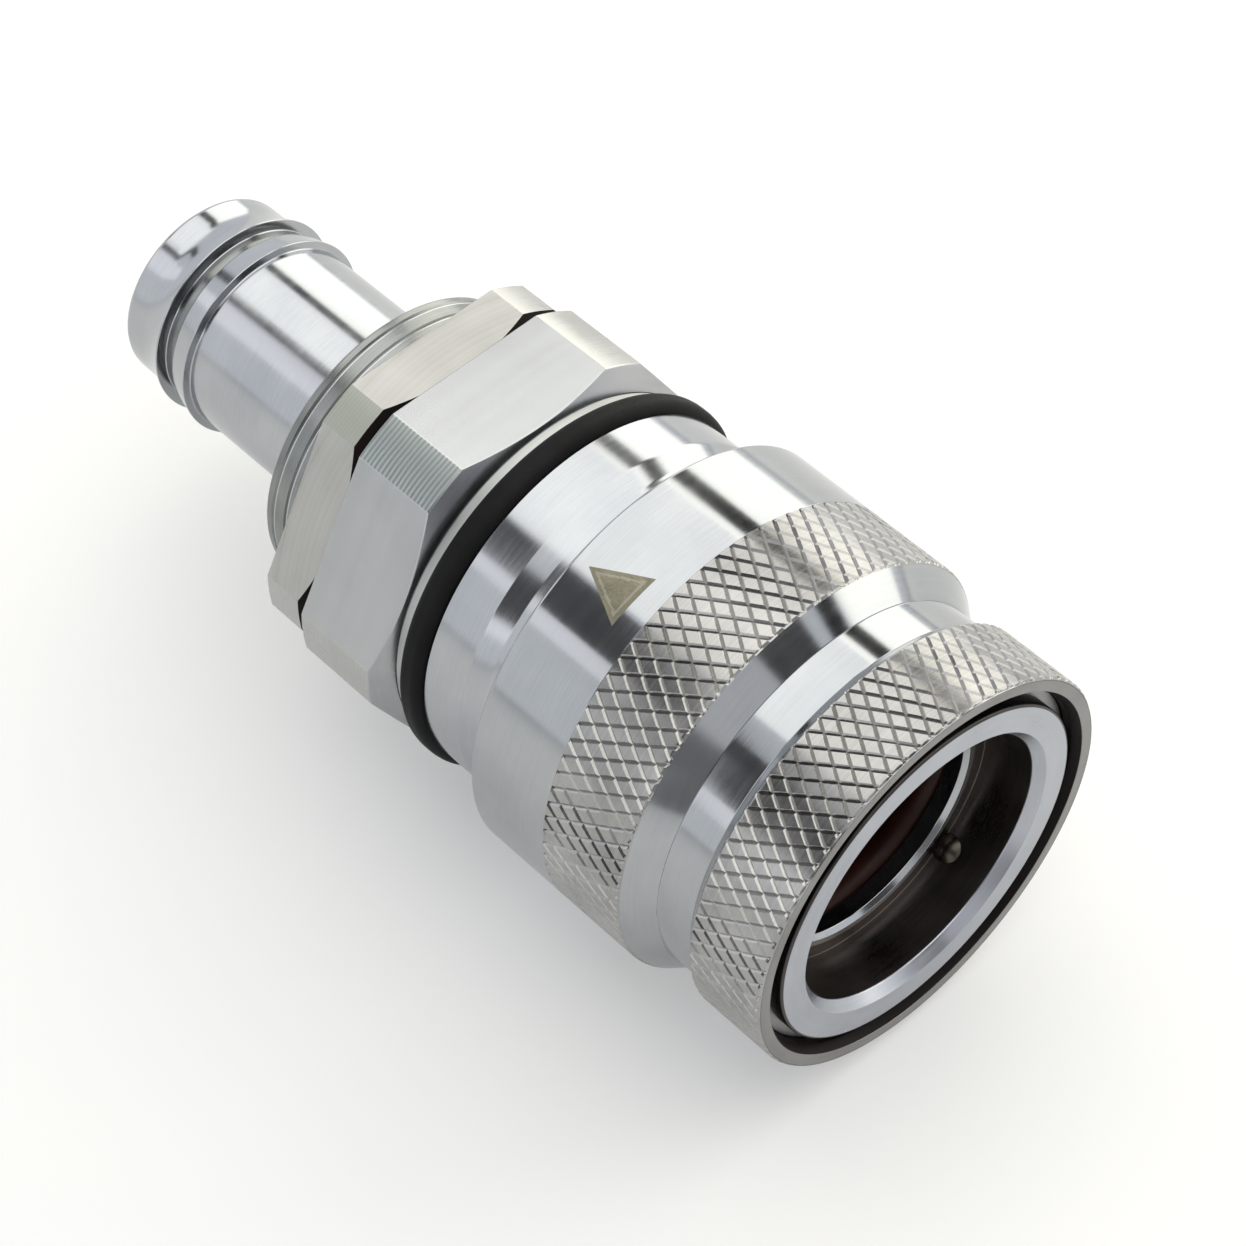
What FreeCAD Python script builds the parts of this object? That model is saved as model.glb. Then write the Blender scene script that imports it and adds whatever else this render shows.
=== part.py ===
import FreeCAD, Part
import math
import os

# Liquid cooling quick coupling: socket with locking sleeve, shut-off valve and hose barb.
# Millimetres. The axis is X, the mouth faces +X, and a hex flat faces +Z.
# The origin is on the axis, where the bore for the plug's nose begins.

# Clearances
sliding = 0.05
rest_gap = 0.02
seal_gap = 0.05
thread_gap = 0.05

# Broken edges of the turned pieces
edge = 0.15

# Radii of the body, from the nose bore outward, each by its step from the one before
nose_bore_r = 6.5
bore_step = 1.4
tube_wall = 2.05
collar_step = 0.85
relief_depth = 0.4
neck_drop = 0.1
bumper_groove_depth = 1.0
bore_r = nose_bore_r + bore_step
tube_r = bore_r + tube_wall
collar_r = tube_r + collar_step
relief_r = collar_r - relief_depth
neck_r = collar_r - neck_drop
bumper_groove_r = collar_r - bumper_groove_depth

# Radii of the locking sleeve, which follow the body
sleeve_wall = 1.45
lip_gap = 0.58
lip_wall = 1.05
sleeve_neck_depth = 0.58
ramp_rise = 0.3
sleeve_r = collar_r + sliding + sleeve_wall
lip_bore_r = tube_r + lip_gap
sleeve_front_r = lip_bore_r + lip_wall
sleeve_neck_r = sleeve_front_r - sleeve_neck_depth
ramp_top_r = tube_r + ramp_rise

# Hexagons, which follow the sleeve
hex_drop = 0.3
hex_corner_cut = 1.0
barb_hex_drop = 1.0
body_hex_corner_r = sleeve_r - hex_drop
body_hex_flats = 2 * (body_hex_corner_r - hex_corner_cut)
barb_hex_flats = body_hex_flats - barb_hex_drop
barb_hex_corner_r = barb_hex_flats / 2 + hex_corner_cut

# Lengths of the body, from the mouth back
mouth_depth = 3.6
mouth_chamfer_len = 0.55
mouth_chamfer_h = 0.45
nose_lip = 0.25
tube_len = 16.2
guide_land_len = 2.6
relief_len = 2.1
relief_slope_len = 1.0
collar_len = 2.6
bumper_len = 1.8
neck_len = 0.45
body_hex_len = 5.95

# Inside of the body, lengths from the origin back
seal_groove_start = 0.9
seal_groove_len = 1.8
seal_groove_depth = 1.4
seat_start = 5.4
chamber_step = 1.7
clip_land = 0.78
thread_step = 0.6
gasket_recess_depth = 0.95
gasket_recess_len = 1.3
seal_groove_r = nose_bore_r + seal_groove_depth
chamber_r = nose_bore_r + chamber_step
thread_r = chamber_r + thread_step
gasket_recess_r = thread_r + gasket_recess_depth

# Lengths of the locking sleeve, from its lip back
sleeve_overhang = 0.12
front_knurl_len = 4.62
neck_fillet_len = 0.6
neck_groove_len = 2.25
sleeve_cone_len = 1.55
rear_knurl_len = 5.17
sleeve_tail = 0.58
ball_land_len = 0.2

# Stop ring and locking balls
stop_ring_start = 0.95
stop_ring_len = 0.72
stop_ring_depth = 0.5
stop_ring_gap = 3.0
ball_r = 1.2
ball_count = 4
ball_start = 40
ball_depth = 3.25

# Springs
sleeve_wire = 0.6
sleeve_coils = 6
sleeve_seat_depth = 8.4
valve_wire = 0.8
valve_coils = 4
valve_spring_r = 4.6
valve_spring_len = 8.0

# Valve
valve_nose_r = 3.0
valve_nose_len = 1.0
valve_front_gap = 0.3
valve_front_len = 1.0
valve_seat_gap = 0.2
valve_seal_wire = 0.75
valve_flow_gap = 0.6
valve_flange_len = 1.4
valve_stem_r = 2.0
valve_stem_end = 0.4
valve_front_r = nose_bore_r - valve_front_gap
valve_flange_r = chamber_r - valve_flow_gap

# Valve guide and its clip
guide_hub_wall = 1.4
guide_collar_step = 0.8
guide_collar_len = 0.8
guide_len = 4.0
guide_ring_len = 2.4
guide_ring_wall = 1.0
guide_spokes = 3
guide_spoke_w = 1.8
clip_len = 0.8
clip_depth = 0.5
clip_gap = 4.0
guide_hub_r = valve_stem_r + guide_hub_wall
guide_collar_r = valve_spring_r + guide_collar_step
valve_stem_len = valve_spring_len + guide_len + valve_stem_end

# Hose barb
barb_hex_len = 3.3
barb_chamfer_len = 0.6
flange_step = 1.6
flange_len = 3.3
flange_line = 0.1
flange_line_1 = 1.8
flange_line_2 = 2.75
flange_edge = 0.15
shank_r = 5.7
shank_wall = 1.7
shank_len = 10.45
tooth_height = 0.42
tooth_edge = 0.1
tooth_1_len = 1.35
tooth_1_root = 0.1
tooth_groove_len = 1.0
tooth_groove_depth = 0.2
flare_len = 2.0
flare_sag = 0.12
nose_drop = 0.08
nose_len = 1.35
nose_round = 0.35
flange_r = barb_hex_flats / 2 - flange_step
flow_bore_r = shank_r - shank_wall
tooth_r = shank_r + tooth_height
nose_r = shank_r - nose_drop

# Threaded spigot of the hose barb
spigot_wall = 2.55
spigot_gap = 0.75
spigot_edge = 0.3
spigot_neck_len = 1.6
spigot_neck_drop = 0.5
spigot_r = thread_r - thread_gap
spigot_bore_r = spigot_r - spigot_wall
spigot_neck_r = thread_r - spigot_neck_drop

# Rubber rings
bumper_stand = 0.65
bumper_round = 0.6
joint_seal_wire = 0.65
bore_seal_lip = 0.25
bumper_r = collar_r + bumper_stand

# Places along the axis that follow from the lengths
x_shoulder = nose_lip
x_mouth = x_shoulder + mouth_depth
x_tube_end = x_mouth - tube_len
x_relief = x_tube_end - guide_land_len
x_slope = x_relief - relief_len
x_collar = x_slope - relief_slope_len
x_bumper = x_collar - collar_len
x_neck = x_bumper - bumper_len
x_hex = x_neck - neck_len
x_rear = x_hex - body_hex_len
x_balls = x_mouth - ball_depth
x_stop_ring = x_mouth - stop_ring_start
x_sleeve = x_mouth + sleeve_overhang
x_spring_seat = x_mouth - sleeve_seat_depth
ball_centre_r = tube_r - ball_r + rest_gap
hex_chamfer_len = (body_hex_corner_r - neck_r) * math.tan(math.radians(30))


def turned(*steps):
    """Solid of revolution about X; a step is (x, r), or (x, r, x_mid, r_mid) for an arc to that point."""
    edges = []
    last = steps[-1][:2]
    for step in steps:
        here = FreeCAD.Vector(step[0], step[1], 0)
        before = FreeCAD.Vector(last[0], last[1], 0)
        if len(step) == 4:
            middle = FreeCAD.Vector(step[2], step[3], 0)
            edges.append(Part.Arc(before, middle, here).toShape())
        else:
            edges.append(Part.makeLine(before, here))
        last = step[:2]
    face = Part.Face(Part.Wire(edges))
    return face.revolve(FreeCAD.Vector(0, 0, 0), FreeCAD.Vector(1, 0, 0), 360)


def hexagon(flats, x_from, x_to):
    """Hexagonal bar along X with a flat facing +Z."""
    corner = flats / 2 / math.cos(math.radians(30))
    angles = [math.radians(60 * k) for k in range(7)]
    points = [FreeCAD.Vector(x_from, corner * math.cos(a), corner * math.sin(a)) for a in angles]
    return Part.Face(Part.makePolygon(points)).extrude(FreeCAD.Vector(x_to - x_from, 0, 0))


def along_x(radius, x_from, x_to):
    """Plain cylinder on the axis."""
    return Part.makeCylinder(radius, x_to - x_from, FreeCAD.Vector(x_from, 0, 0), FreeCAD.Vector(1, 0, 0))


def turn(shape, degrees):
    """The shape turned about the axis."""
    copy = shape.copy()
    copy.rotate(FreeCAD.Vector(0, 0, 0), FreeCAD.Vector(1, 0, 0), degrees)
    return copy


def ball_angles():
    """Angles of the balls about the axis, from +Y towards +Z."""
    return [ball_start + 360 / ball_count * k for k in range(ball_count)]


def o_ring(x_centre, centre_r, wire):
    """Rubber ring of round section."""
    circle = Part.makeCircle(wire, FreeCAD.Vector(x_centre, centre_r, 0), FreeCAD.Vector(0, 0, 1))
    face = Part.Face(Part.Wire(circle))
    return face.revolve(FreeCAD.Vector(0, 0, 0), FreeCAD.Vector(1, 0, 0), 360)


def coil(x_from, x_to, centre_r, wire, turns):
    """Round wire wound about the axis, in half turns that tilt alternately and join smoothly."""
    step = (x_to - x_from - wire) / (2 * turns)
    halves = []
    for k in range(2 * turns):
        side = 1 if k % 2 == 0 else -1
        start = FreeCAD.Vector(x_from + wire / 2 + k * step, side * centre_r, 0)
        end = FreeCAD.Vector(start.x + step, -start.y, 0)
        section = Part.makeCircle(wire / 2, start, FreeCAD.Vector(0, 0, 1))
        axis = (end - start).cross(FreeCAD.Vector(0, 0, -side))
        halves.append(Part.Face(Part.Wire(section)).revolve((start + end) / 2, axis, 180))
    return halves[0].fuse(halves[1:])


def split_ring(x_front, length, inner_r, outer_r, gap):
    """Flat snap ring with a gap at the bottom."""
    ring = along_x(outer_r, x_front - length, x_front).cut(along_x(inner_r, x_front - length, x_front))
    slot = Part.makeBox(length, gap, outer_r, FreeCAD.Vector(x_front - length, -gap / 2, -outer_r))
    return ring.cut(slot)


def hex_envelope(x_front, x_back, corner_r, front_r, chamfer_len):
    """Turned outline that takes the corners off a hexagon."""
    return turned(
        (x_front, 0),
        (x_front, front_r),
        (x_front - chamfer_len, corner_r),
        (x_back, corner_r),
        (x_back, 0),
    )


def body_bore():
    """Everything that is bored out of the body, from the mouth to the rear."""
    x_seal = -seal_groove_start
    x_seal_end = x_seal - seal_groove_len
    x_chamber = -seat_start - (chamber_r - nose_bore_r)
    x_clip = x_guide() - guide_len + rest_gap
    x_clip_end = x_clip - clip_len - 2 * rest_gap
    return turned(
        (x_mouth, 0),
        (x_mouth, bore_r + mouth_chamfer_h),
        (x_mouth - mouth_chamfer_len, bore_r),
        (x_shoulder, bore_r),
        (x_shoulder, nose_bore_r + nose_lip),
        (0, nose_bore_r),
        (x_seal, nose_bore_r),
        (x_seal, seal_groove_r),
        (x_seal_end, seal_groove_r),
        (x_seal_end, nose_bore_r),
        (-seat_start, nose_bore_r),
        (x_chamber, chamber_r),
        (x_clip, chamber_r),
        (x_clip, chamber_r + clip_depth),
        (x_clip_end, chamber_r + clip_depth),
        (x_clip_end, chamber_r),
        (x_thread(), chamber_r),
        (x_thread(), thread_r),
        (x_rear + gasket_recess_len, thread_r),
        (x_rear + gasket_recess_len, gasket_recess_r),
        (x_rear, gasket_recess_r),
        (x_rear, 0),
    )


def socket_body():
    """Front tube, guide land, relief, collar, bumper groove and hexagon, all in one piece."""
    ring_end = x_stop_ring - stop_ring_len
    outside = turned(
        (x_mouth, 0),
        (x_mouth, tube_r - edge),
        (x_mouth - edge, tube_r),
        (x_stop_ring, tube_r),
        (x_stop_ring, tube_r - stop_ring_depth),
        (ring_end, tube_r - stop_ring_depth),
        (ring_end, tube_r),
        (x_tube_end, tube_r),
        (x_tube_end, collar_r),
        (x_relief, collar_r),
        (x_relief, relief_r),
        (x_slope, relief_r),
        (x_collar, collar_r),
        (x_bumper, collar_r),
        (x_bumper, bumper_groove_r),
        (x_neck, bumper_groove_r),
        (x_neck, neck_r),
        (x_hex, neck_r),
        (x_hex, 0),
    )
    bar = hexagon(body_hex_flats, x_rear, x_hex)
    outline = hex_envelope(x_hex, x_rear, body_hex_corner_r, neck_r, hex_chamfer_len)
    body = outside.fuse(bar.common(outline)).cut(body_bore())
    pocket_r = ball_r + sliding
    centre = FreeCAD.Vector(x_balls, ball_centre_r, 0)
    pocket = Part.makeSphere(pocket_r, centre)
    drill = Part.makeCylinder(pocket_r, tube_r, centre, FreeCAD.Vector(0, 1, 0))
    for angle in ball_angles():
        body = body.cut(turn(pocket.fuse(drill), angle))
    return body.removeSplitter()


def lock_ball(angle):
    """Ball resting in its tapered hole, held in by the sleeve."""
    return turn(Part.makeSphere(ball_r, FreeCAD.Vector(x_balls, ball_centre_r, 0)), angle)


def stop_ring():
    """Split ring in the tube's groove; the sleeve's step rests on it."""
    inner = tube_r - stop_ring_depth + sliding
    return split_ring(x_stop_ring, stop_ring_len, inner, lip_bore_r - sliding, stop_ring_gap)


def lock_sleeve():
    """Pull sleeve: lip, ball ramp and land in front, spring room and guide bore behind."""
    land_r = tube_r + sliding
    guide_r = collar_r + sliding
    x_step = x_stop_ring - stop_ring_len - rest_gap
    x_land = x_balls - ball_land_len
    x_neck_top = x_sleeve - front_knurl_len
    x_neck_front = x_neck_top - neck_fillet_len
    x_neck_back = x_neck_front - neck_groove_len
    x_cone = x_neck_back - sleeve_cone_len
    x_end = x_relief - sleeve_tail
    return turned(
        (x_sleeve, lip_bore_r),
        (x_sleeve, sleeve_front_r - edge),
        (x_sleeve - edge, sleeve_front_r),
        (x_neck_top, sleeve_front_r),
        (x_neck_front, sleeve_neck_r),
        (x_neck_back, sleeve_neck_r),
        (x_cone, sleeve_r),
        (x_end + edge, sleeve_r),
        (x_end, sleeve_r - edge),
        (x_end, guide_r),
        (x_spring_seat, guide_r),
        (x_spring_seat, land_r),
        (x_land, land_r),
        (x_step, ramp_top_r),
        (x_step, lip_bore_r),
    )


def sleeve_spring():
    """Coil between the sleeve's inner step and the body's shoulder."""
    centre_r = (tube_r + collar_r + sliding) / 2
    return coil(x_tube_end, x_spring_seat, centre_r, sleeve_wire, sleeve_coils)


def bumper_ring():
    """Rubber ring with rounded edges, seated in its groove behind the collar."""
    inner = bumper_groove_r
    bend = bumper_round * (1 - math.cos(math.radians(45)))
    return turned(
        (x_bumper, inner),
        (x_bumper, bumper_r - bumper_round),
        (x_bumper - bumper_round, bumper_r, x_bumper - bend, bumper_r - bend),
        (x_neck + bumper_round, bumper_r),
        (x_neck, bumper_r - bumper_round, x_neck + bend, bumper_r - bend),
        (x_neck, inner),
    )


def bore_seal():
    """Packing in the nose bore, with a rounded inner lip that stands a little proud."""
    x_front = -seal_groove_start - seal_gap
    x_back = -seal_groove_start - seal_groove_len + seal_gap
    outer = seal_groove_r - seal_gap
    lip_r = nose_bore_r + bore_seal_lip
    return turned(
        (x_front, lip_r, (x_front + x_back) / 2, nose_bore_r - bore_seal_lip),
        (x_front, outer),
        (x_back, outer),
        (x_back, lip_r),
    )


def valve_places():
    """Planes of the valve from front to back: nose, disc, groove, flange, tail."""
    groove_len = 2 * valve_seal_wire + 2 * seal_gap
    x_groove = -seat_start - valve_seat_gap
    x_disc = x_groove + valve_front_len
    x_flange = x_groove - groove_len
    return x_disc + valve_nose_len, x_disc, x_groove, x_flange, x_flange - valve_flange_len


def valve_seal_centre_r():
    """Radius at which the valve's ring stands just clear of the conical seat."""
    x_centre = (valve_places()[2] + valve_places()[3]) / 2
    seat_r = nose_bore_r - seat_start - x_centre
    return seat_r - (valve_seal_wire + 2 * seal_gap) * math.sqrt(2)


def valve_poppet():
    """Shut-off valve: push nose, disc, seal groove, flange and guide stem."""
    x_nose, x_disc, x_groove, x_flange, x_back = valve_places()
    groove_r = valve_seal_centre_r() - valve_seal_wire - rest_gap
    return turned(
        (x_nose, 0),
        (x_nose, valve_nose_r - edge),
        (x_nose - edge, valve_nose_r),
        (x_disc, valve_nose_r),
        (x_disc, valve_front_r),
        (x_groove, valve_front_r),
        (x_groove, groove_r),
        (x_flange, groove_r),
        (x_flange, valve_flange_r),
        (x_back, valve_flange_r),
        (x_back, valve_stem_r),
        (x_back - valve_stem_len, valve_stem_r),
        (x_back - valve_stem_len, 0),
    )


def valve_seal():
    """Ring in the valve's groove that meets the conical seat."""
    x_centre = (valve_places()[2] + valve_places()[3]) / 2
    return o_ring(x_centre, valve_seal_centre_r(), valve_seal_wire)


def x_guide():
    """Front face of the valve guide's collar."""
    return valve_places()[4] - valve_spring_len


def x_thread():
    """Plane behind the clip where the chamber ends and the thread begins."""
    return x_guide() - guide_len - clip_len - rest_gap - clip_land


def valve_spring():
    """Coil between the valve's flange and the guide's collar."""
    return coil(x_guide(), valve_places()[4], valve_spring_r, valve_wire, valve_coils)


def valve_guide():
    """Hub for the valve's stem on three spokes in a ring that fits the body."""
    x_front = x_guide()
    x_back = x_front - guide_len
    x_ring = x_back + guide_ring_len
    ring_r = chamber_r - sliding
    hub = turned(
        (x_front, valve_stem_r + sliding),
        (x_front, guide_collar_r),
        (x_front - guide_collar_len, guide_collar_r),
        (x_front - guide_collar_len, guide_hub_r),
        (x_back, guide_hub_r),
        (x_back, valve_stem_r + sliding),
    )
    ring = along_x(ring_r, x_back, x_ring).cut(along_x(ring_r - guide_ring_wall, x_back, x_ring))
    inner = (valve_stem_r + guide_hub_r) / 2
    spoke = Part.makeBox(
        guide_ring_len,
        guide_spoke_w,
        ring_r - guide_ring_wall / 2 - inner,
        FreeCAD.Vector(x_back, -guide_spoke_w / 2, inner),
    )
    guide = hub.fuse(ring)
    for k in range(guide_spokes):
        guide = guide.fuse(turn(spoke, 360 / guide_spokes * k))
    return guide.removeSplitter()


def guide_clip():
    """Split ring behind the guide, sprung into its groove in the body."""
    x_front = x_guide() - guide_len
    outer = chamber_r + clip_depth - sliding
    inner = chamber_r - guide_ring_wall
    return split_ring(x_front, clip_len, inner, outer, clip_gap)


def joint_seal():
    """Rubber ring between the body's recess and the barb's neck."""
    centre_r = (gasket_recess_r + spigot_neck_r) / 2
    return o_ring(x_rear + gasket_recess_len / 2, centre_r, joint_seal_wire - sliding)


def tail():
    """Outside of the hose barb behind its hexagon: flange, shank, two teeth, flare and nose."""
    x_flange = x_rear - barb_hex_len
    x_shank = x_flange - flange_len
    x_tooth_1 = x_shank - shank_len
    x_groove = x_tooth_1 - tooth_1_len
    x_tooth_2 = x_groove - tooth_groove_len
    x_nose = x_tooth_2 - flare_len
    x_end = x_nose - nose_len
    bend = nose_round * (1 - math.cos(math.radians(45)))
    steps = [(x_flange, 0), (x_flange, flange_r)]
    for depth in (flange_line_1, flange_line_2):
        x_line = x_flange - depth
        steps += [
            (x_line + flange_line, flange_r),
            (x_line, flange_r - flange_line),
            (x_line - flange_line, flange_r),
        ]
    steps += [
        (x_shank + flange_edge, flange_r),
        (x_shank, flange_r - flange_edge),
        (x_shank, shank_r),
        (x_tooth_1 + tooth_edge, shank_r),
        (x_tooth_1, tooth_r),
        (x_groove, shank_r + tooth_1_root),
        (x_groove, shank_r - tooth_groove_depth),
        (x_tooth_2 + tooth_edge, shank_r - tooth_groove_depth),
        (x_tooth_2, tooth_r),
        (x_nose, nose_r, (x_tooth_2 + x_nose) / 2, (tooth_r + nose_r) / 2 - flare_sag),
        (x_end + nose_round, nose_r),
        (x_end, nose_r - nose_round, x_end + bend, nose_r - bend),
        (x_end, 0),
    ]
    return turned(*steps), x_end


def hose_barb():
    """Hose connector: threaded spigot, hexagon and barbed tail, bored through."""
    x_hex_end = x_rear - barb_hex_len
    x_spigot = x_thread() - spigot_gap
    outside, x_end = tail()
    bar = hexagon(barb_hex_flats, x_hex_end, x_rear)
    front_r = barb_hex_corner_r - barb_chamfer_len / math.tan(math.radians(30))
    bar = bar.common(hex_envelope(x_rear, x_hex_end, barb_hex_corner_r, front_r, barb_chamfer_len))
    spigot = turned(
        (x_spigot, 0),
        (x_spigot, spigot_r - spigot_edge),
        (x_spigot - spigot_edge, spigot_r),
        (x_rear + spigot_neck_len, spigot_r),
        (x_rear + spigot_neck_len, spigot_neck_r),
        (x_rear, spigot_neck_r),
        (x_rear, 0),
    )
    bore = turned(
        (x_spigot, 0),
        (x_spigot, spigot_bore_r),
        (x_rear, spigot_bore_r),
        (x_rear - (spigot_bore_r - flow_bore_r), flow_bore_r),
        (x_end, flow_bore_r),
        (x_end, 0),
    )
    return outside.fuse([bar, spigot]).cut(bore).removeSplitter()


def export(name, shape):
    """One STEP file for each piece, which is one solid."""
    shape = shape.Solids[0]
    shape.exportStep("parts/" + name + ".step")
    print(name, shape.ShapeType, "valid", shape.isValid(), "volume", round(shape.Volume, 2))


def main():
    os.makedirs("parts", exist_ok=True)
    export("socket_body", socket_body())
    export("hose_barb", hose_barb())
    export("joint_seal", joint_seal())
    export("bumper_ring", bumper_ring())
    export("lock_sleeve", lock_sleeve())
    export("sleeve_spring", sleeve_spring())
    export("stop_ring", stop_ring())
    for number, angle in enumerate(ball_angles(), start=1):
        export("lock_ball_%d" % number, lock_ball(angle))
    export("bore_seal", bore_seal())
    export("valve_poppet", valve_poppet())
    export("valve_seal", valve_seal())
    export("valve_spring", valve_spring())
    export("valve_guide", valve_guide())
    export("guide_clip", guide_clip())


main()
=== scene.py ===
import math
import random

import bmesh
import bpy
from mathutils import Matrix, Vector


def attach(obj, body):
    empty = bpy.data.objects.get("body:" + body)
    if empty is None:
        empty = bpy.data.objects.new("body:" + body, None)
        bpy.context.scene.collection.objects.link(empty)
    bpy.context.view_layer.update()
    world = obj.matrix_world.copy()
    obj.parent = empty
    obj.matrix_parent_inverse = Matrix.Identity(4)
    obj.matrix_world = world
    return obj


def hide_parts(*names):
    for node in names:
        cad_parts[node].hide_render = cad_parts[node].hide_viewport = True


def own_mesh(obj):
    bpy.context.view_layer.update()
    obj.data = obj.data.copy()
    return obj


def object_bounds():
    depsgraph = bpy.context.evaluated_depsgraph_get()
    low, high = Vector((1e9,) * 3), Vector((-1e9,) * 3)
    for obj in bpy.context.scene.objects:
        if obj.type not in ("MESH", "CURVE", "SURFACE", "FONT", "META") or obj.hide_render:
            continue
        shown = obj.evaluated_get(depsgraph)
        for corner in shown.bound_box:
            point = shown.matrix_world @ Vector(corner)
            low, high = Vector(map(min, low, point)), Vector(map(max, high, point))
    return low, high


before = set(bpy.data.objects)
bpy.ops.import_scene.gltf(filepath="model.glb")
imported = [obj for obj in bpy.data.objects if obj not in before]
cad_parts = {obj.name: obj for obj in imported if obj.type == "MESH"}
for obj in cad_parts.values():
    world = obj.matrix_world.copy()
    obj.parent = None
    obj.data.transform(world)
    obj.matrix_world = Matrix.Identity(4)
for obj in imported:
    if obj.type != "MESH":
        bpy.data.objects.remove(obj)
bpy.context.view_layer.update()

# Looks of the quick coupling. Lengths below are millimetres on the axis X, and MM turns them into metres.
MM = 0.001
SEGMENTS = 288

# Camera, in millimetres of the part's frame, degrees and millimetres of lens
CAMERA_AT = (67.506, -74.838, 140.750)
CAMERA_AIM = (-17.393, -0.234, 0.656)
CAMERA_ROLL = -2.317
CAMERA_LENS = 102.3

# Turning marks: scale of the noise along the axis, in 1/m, and height of the marks, in metres
RING_MARKS = 9000
RING_DEPTH = 0.0000006

# Hexagons: material indexes of the corner strip with tool lines, the front chamfer and the smooth strips;
# then the angle of the lined strip, in degrees, and the width of the fine bevel on the edges
LINED, FRONT_CHAMFER, PLAIN = 1, 2, 3
LINED_AT = 120
HEX_BEVEL = 0.07

# Body, from the mouth back
X_MOUTH = 3.85
X_SHOULDER = 0.25
X_TUBE_END = -12.35
X_RELIEF = -14.95
X_SLOPE = -17.05
X_COLLAR = -18.05
X_BUMPER = -20.80
X_NECK = -22.32
X_HEX = -22.90
X_REAR = -28.85
TUBE_R = 9.95
COLLAR_R = 10.8
RELIEF_R = 10.4
BUMPER_GROOVE_R = 9.8
BUMPER_R = 11.28
NECK_R = 10.7
BORE_R = 7.9
NOSE_BORE_R = 6.5
CHAMBER_R = 8.2
SEAL_FRONT = -0.9
SEAL_BACK = -2.7
SEAL_GROOVE_R = 7.9
SEAT_START = -5.4
SEAT_END = -7.1
X_CHAMBER_END = -21.46
HEX_FLATS = 22.0
HEX_CORNER_R = 12.0
HEX_SLOPE = 0.577
FLATS_CENTRE = 60
REAR_BORE_R = 9.75
FACE_BORE_R = 9.0
THREAD_BORE_R = 8.8
X_THREAD_FRONT = -22.2
X_THREAD_BACK = -24

# Sleeve, from the lip back
X_SLEEVE = 3.97
X_NECK_TOP = -0.65
X_NECK_FRONT = -1.25
X_NECK_BACK = -3.50
X_CONE = -5.05
X_BAND = -10.22
X_SLEEVE_END = -15.53
SLEEVE_R = 12.3
SLEEVE_FRONT_R = 11.58
LIP_CHAMFER = 0.27
LIP_EDGE = 0.15
SLEEVE_NECK_R = 11.0
LIP_BORE_R = 10.53
GUIDE_BORE_R = 10.85
X_SPRING_STEP = -4.55
X_LIP_STEP = 2.16
STEP_R = 10.0
BEVEL_DROP, BEVEL_LEN = 0.58, 0.6
CONE_DROP, CONE_LEN = 1.3, 1.55
ARROW_LIFT = 0.004

# Knurl
KNURL_LINES = 80
KNURL_ANGLE = 31.5
KNURL_DEPTH = 0.11
KNURL_SHARE = 0.14
KNURL_UNEVEN = 0.006
KNURL_CROWN = 0.001
KNURL_CUTS = (0.06, 0.12, 0.18, 0.24)

# Hose barb, from the hexagon back
X_BARB_HEX = -32.15
FLANGE_LINES = (-33.95, -34.90)
X_SHANK = -35.45
X_TOOTH_1 = -45.90
X_GROOVE = -47.25
X_TOOTH_2 = -48.25
X_NOSE = -50.25
X_END = -51.60
X_SPIGOT = -22.95
FLANGE_R = 8.9
SHANK_R = 5.7
TOOTH_R = 6.12
NOSE_R = 5.62
FLARE_SAG = 0.12
FLOW_R = 4.0
SPIGOT_R = 8.75
SPIGOT_NECK_R = 8.3
SPIGOT_BORE_R = 6.2
BARB_INNER_R = 8.0
BARB_HEX_FLATS = 21.0
BARB_HEX_CORNER_R = 11.5
BARB_HEX_FRONT_R = 10.46
BARB_HEX_INNER_R = 7.9
BARB_HEX_SLOPE = 0.84
BARB_FLATS_CENTRE = -14

# Springs: piece, node, body, joint; then travel, fixed end, free end, radius of the coil, wire, turns
SPRINGS = (
    (
        "sleeve_spring_coil", "sleeve_spring", "sleeve_turn", "sleeve_slide",
        2.9, X_TUBE_END, X_SPRING_STEP, 10.4, 0.6, 6,
    ),
    (
        "valve_spring_coil", "valve_spring", "socket", "valve_slide",
        3.8, -16.60, -8.60, 4.6, 0.8, 4,
    ),
)

# Studio, in metres: reach of the cards, lamps and floor; the floor's own glow; the camera's tilt
CARD_REACH = 0.38
LAMP_LENGTH = 0.9
LAMP_X = -0.10
FLOOR_SIZE = 8
FLOOR_GLOW = 0.28
FLOOR_GLOW_MIRRORED = 0.17
VIEW_TILT = math.radians(28)


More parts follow.
